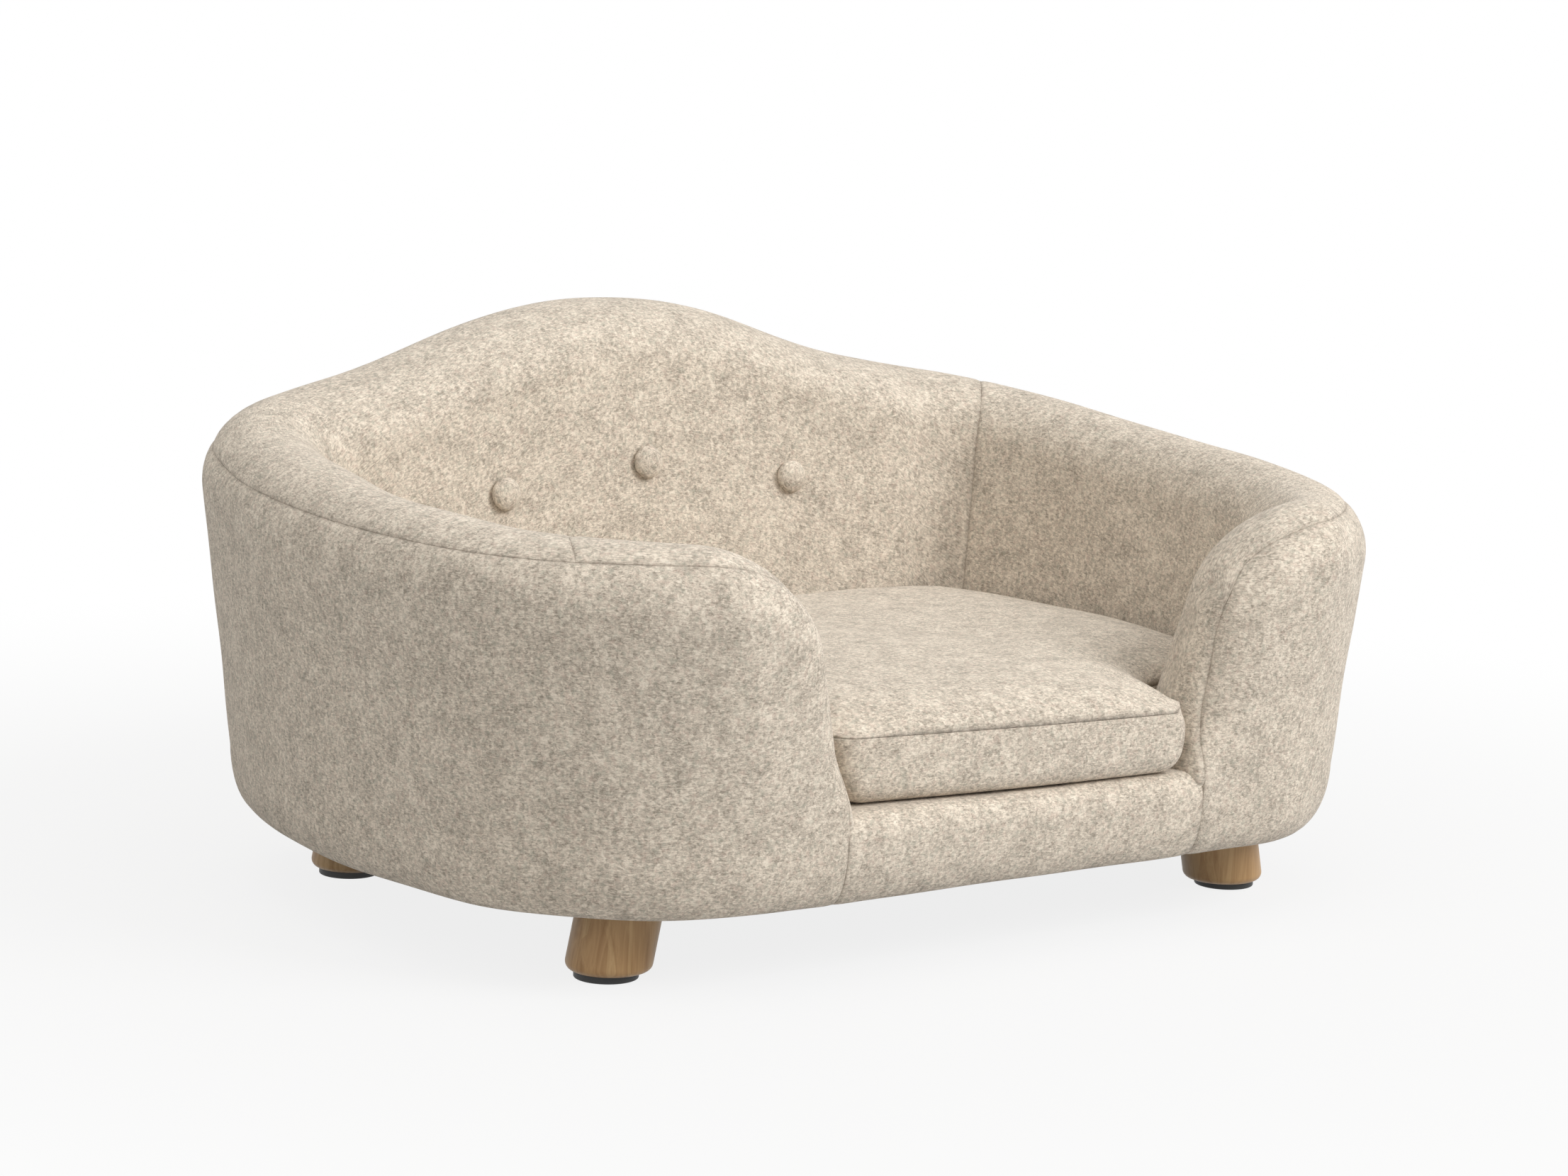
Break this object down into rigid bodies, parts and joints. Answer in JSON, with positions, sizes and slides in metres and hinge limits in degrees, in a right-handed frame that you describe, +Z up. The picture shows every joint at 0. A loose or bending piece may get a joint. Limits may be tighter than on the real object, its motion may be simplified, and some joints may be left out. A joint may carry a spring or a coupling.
{
  "type": "pet sofa bed",
  "caption": "Small sofa-shaped pet bed: padded tub wall with a humped, buttoned back and open front, a loose zipped seat cushion, and splayed round wooden legs with glides.",
  "frame": {"origin": "on the floor, under the middle of the bounding box", "axes": "+Z up, the open front faces -Y, +X to the sitter's left as it looks out, which is the right seen from the front"},
  "size_m": [0.662, 0.4928, 0.325],
  "materials": {
    "tub_cloth": "brushed heather felt",
    "cushion_cloth": "brushed heather felt",
    "lining_cloth": "thin bonded lining",
    "padding": "open-cell padding",
    "board_wood": "raw plywood and softwood",
    "leg_wood": "oiled, fine straight grain",
    "glide_plastic": "matte",
    "fastener_steel": "zinc plated",
    "tape": "woven tape",
    "zip_teeth": "matte",
    "zip_metal": "satin nickel"
  },
  "bodies": {
    "tub": {"back_cover": "tub_cloth", "back_wall_foam": "padding", "back_wall_panel": "board_wood", "base_board": "board_wood", "button_centre": "tub_cloth", "button_left": "tub_cloth", "button_right": "tub_cloth", "button_ties": "tape", "button_washers": "fastener_steel", "centre_rail": "board_wood", "deck_board": "board_wood", "deck_cloth": "board_wood", "deck_foam": "padding", "dust_cover": "lining_cloth", "front_panel": "board_wood", "front_rail": "board_wood", "front_rail_cover": "tub_cloth", "front_rail_foam": "padding", "glide_back_left": "glide_plastic", "glide_back_right": "glide_plastic", "glide_front_left": "glide_plastic", "glide_front_right": "glide_plastic", "glide_screws": "fastener_steel", "left_arm_cover": "tub_cloth", "left_arm_end_foam": "padding", "left_rail": "board_wood", "left_wall_foam": "padding", "left_wall_panel": "board_wood", "leg_back_left": "leg_wood", "leg_back_right": "leg_wood", "leg_bolts": "fastener_steel", "leg_front_left": "leg_wood", "leg_front_right": "leg_wood", "outer_cover": "tub_cloth", "rear_rail": "board_wood", "right_arm_cover": "tub_cloth", "right_arm_end_foam": "padding", "right_rail": "board_wood", "right_wall_foam": "padding", "right_wall_panel": "board_wood", "tee_nuts": "fastener_steel", "wall_screws": "fastener_steel"},
    "cushion": {"cushion_core": "padding", "cushion_top_panel": "cushion_cloth", "cushion_band": "cushion_cloth", "cushion_bottom_panel": "cushion_cloth", "zip_tape": "tape", "zip_teeth": "zip_teeth"},
    "slider": {"zip_slider": "zip_metal"}
  },
  "joints": [
    {"name": "cushion_lift", "type": "slide", "parent": "tub", "child": "cushion", "axis": [0, 0, 1], "range_m": [0, 0.25]},
    {"name": "zip_slide", "type": "slide", "parent": "cushion", "child": "slider", "axis": [-1, 0, 0], "range_m": [0, 0.21]}
  ]
}
